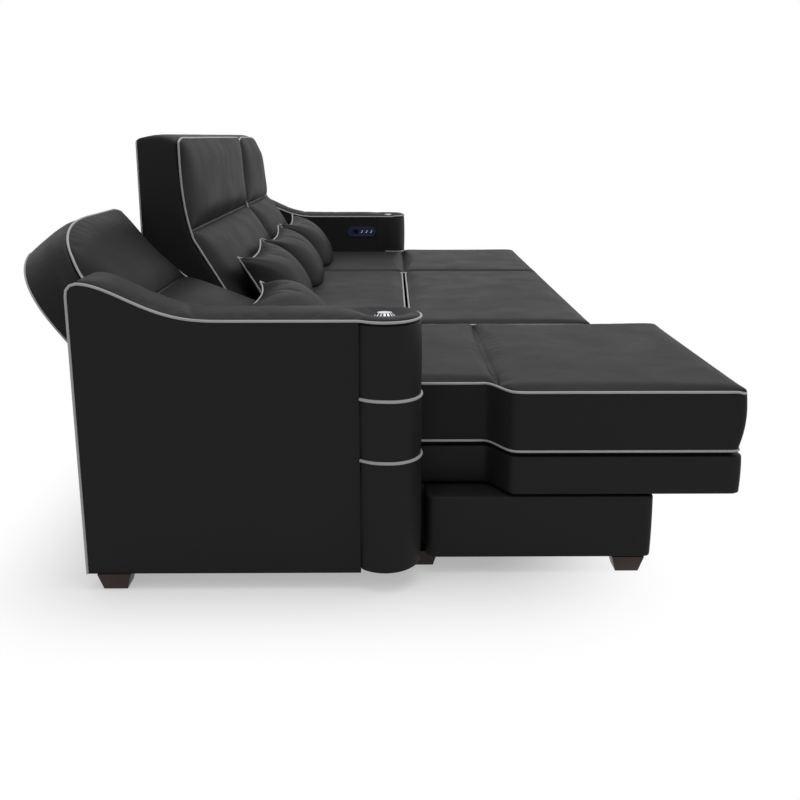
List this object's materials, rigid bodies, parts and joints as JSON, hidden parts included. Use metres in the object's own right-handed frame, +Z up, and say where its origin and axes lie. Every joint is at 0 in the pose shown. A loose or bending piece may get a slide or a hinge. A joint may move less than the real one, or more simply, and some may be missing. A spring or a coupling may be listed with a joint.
{
  "type": "power reclining sofa",
  "caption": "Leather sofa in sections: each end seat runs forward on rails as its hinged back lays back, around a fixed wide middle, between padded arms with control panels.",
  "frame": {"origin": "on the floor at the middle support foot, midway along the sofa", "axes": "+X along the sofa towards its closed end section, -Y out of the front, +Z up"},
  "size_m": [3.332, 1.803, 1.0558],
  "materials": {
    "leather": "semi-matt black leather",
    "side_leather": "semi-matt black leather",
    "piping": "pale grey piping",
    "chrome": "polished",
    "panel_plastic": "gloss dark blue",
    "button_plastic": "gloss dark blue",
    "steel": "zinc plated",
    "motor_plastic": "moulded black",
    "board": "raw plywood",
    "wood": "dark brown stain"
  },
  "bodies": {
    "frame": {"left_arm": "leather", "left_arm_pad": "leather", "left_column": "leather", "left_cap": "chrome", "left_control_panel": "panel_plastic", "right_arm": "leather", "right_arm_pad": "leather", "right_column": "leather", "right_cap": "chrome", "right_control_panel": "panel_plastic", "left_base_box": "leather", "left_base_runners": "board", "left_rear_panel": "side_leather", "left_fixed_rails": "steel", "left_actuator": "motor_plastic", "right_base_box": "leather", "right_base_runners": "board", "right_rear_panel": "side_leather", "right_fixed_rails": "steel", "right_actuator": "motor_plastic", "middle_base_box": "leather", "middle_base_runners": "board", "middle_rear_panel": "side_leather", "power_supply": "motor_plastic", "feet": "wood", "middle_seat_box": "leather", "middle_rear_cushion": "leather", "middle_front_cushion": "leather", "middle_back_shell": "side_leather", "middle_head_cushion": "leather", "middle_lumbar_cushion": "leather", "middle_left_pillow": "leather", "middle_right_pillow": "leather"},
    "left_seat": {"left_seat_box": "leather", "left_seat_cushion": "leather", "left_moving_rails": "steel", "left_actuator_rod": "steel", "left_brackets": "steel", "left_hinge_pins": "steel"},
    "left_back": {"left_back_shell": "side_leather", "left_head_cushion": "leather", "left_lumbar_cushion": "leather"},
    "left_pillow": {"left_pillow": "leather"},
    "left_button_front": {"left_button_front": "button_plastic"},
    "left_button_middle": {"left_button_middle": "button_plastic"},
    "left_button_rear": {"left_button_rear": "button_plastic"},
    "right_seat": {"right_seat_box": "leather", "right_seat_cushion": "leather", "right_moving_rails": "steel", "right_actuator_rod": "steel", "right_brackets": "steel", "right_hinge_pins": "steel"},
    "right_back": {"right_back_shell": "side_leather", "right_head_cushion": "leather", "right_lumbar_cushion": "leather"},
    "right_pillow": {"right_pillow": "leather"},
    "right_button_front": {"right_button_front": "button_plastic"},
    "right_button_middle": {"right_button_middle": "button_plastic"},
    "right_button_rear": {"right_button_rear": "button_plastic"}
  },
  "joints": [
    {"name": "left_slide", "type": "slide", "parent": "frame", "child": "left_seat", "axis": [0, -1, 0], "range_m": [-0.205, 0]},
    {"name": "left_recline", "type": "hinge", "parent": "left_seat", "child": "left_back", "pos_m": [-1.056, 0.27, 0.357], "axis": [-1, 0, 0], "range_deg": [-38, 0]},
    {"name": "left_pillow_tip", "type": "hinge", "parent": "left_seat", "child": "left_pillow", "pos_m": [-0.969, 0.18, 0.455], "axis": [-1, 0, 0], "range_deg": [-38, 0]},
    {"name": "left_front_press", "type": "slide", "parent": "frame", "child": "left_button_front", "axis": [-1, 0, 0], "range_m": [0, 0.0015], "stiffness_N_per_m": 800, "springref_m": -0.0008},
    {"name": "left_middle_press", "type": "slide", "parent": "frame", "child": "left_button_middle", "axis": [-1, 0, 0], "range_m": [0, 0.0015], "stiffness_N_per_m": 800, "springref_m": -0.0008},
    {"name": "left_rear_press", "type": "slide", "parent": "frame", "child": "left_button_rear", "axis": [-1, 0, 0], "range_m": [0, 0.0015], "stiffness_N_per_m": 800, "springref_m": -0.0008},
    {"name": "right_slide", "type": "slide", "parent": "frame", "child": "right_seat", "axis": [0, -1, 0], "range_m": [0, 0.205]},
    {"name": "right_recline", "type": "hinge", "parent": "right_seat", "child": "right_back", "pos_m": [1.056, 0.475, 0.357], "axis": [-1, 0, 0], "range_deg": [0, 38]},
    {"name": "right_pillow_tip", "type": "hinge", "parent": "right_seat", "child": "right_pillow", "pos_m": [0.969, 0.385, 0.455], "axis": [-1, 0, 0], "range_deg": [0, 38]},
    {"name": "right_front_press", "type": "slide", "parent": "frame", "child": "right_button_front", "axis": [1, 0, 0], "range_m": [0, 0.0015], "stiffness_N_per_m": 800, "springref_m": -0.0008},
    {"name": "right_middle_press", "type": "slide", "parent": "frame", "child": "right_button_middle", "axis": [1, 0, 0], "range_m": [0, 0.0015], "stiffness_N_per_m": 800, "springref_m": -0.0008},
    {"name": "right_rear_press", "type": "slide", "parent": "frame", "child": "right_button_rear", "axis": [1, 0, 0], "range_m": [0, 0.0015], "stiffness_N_per_m": 800, "springref_m": -0.0008}
  ],
  "couplings": [
    {"joint": "left_recline", "follows": "left_slide", "rad_per_m": 3.2352},
    {"joint": "left_pillow_tip", "follows": "left_slide", "rad_per_m": 3.2352},
    {"joint": "right_recline", "follows": "right_slide", "rad_per_m": 3.2352},
    {"joint": "right_pillow_tip", "follows": "right_slide", "rad_per_m": 3.2352}
  ]
}
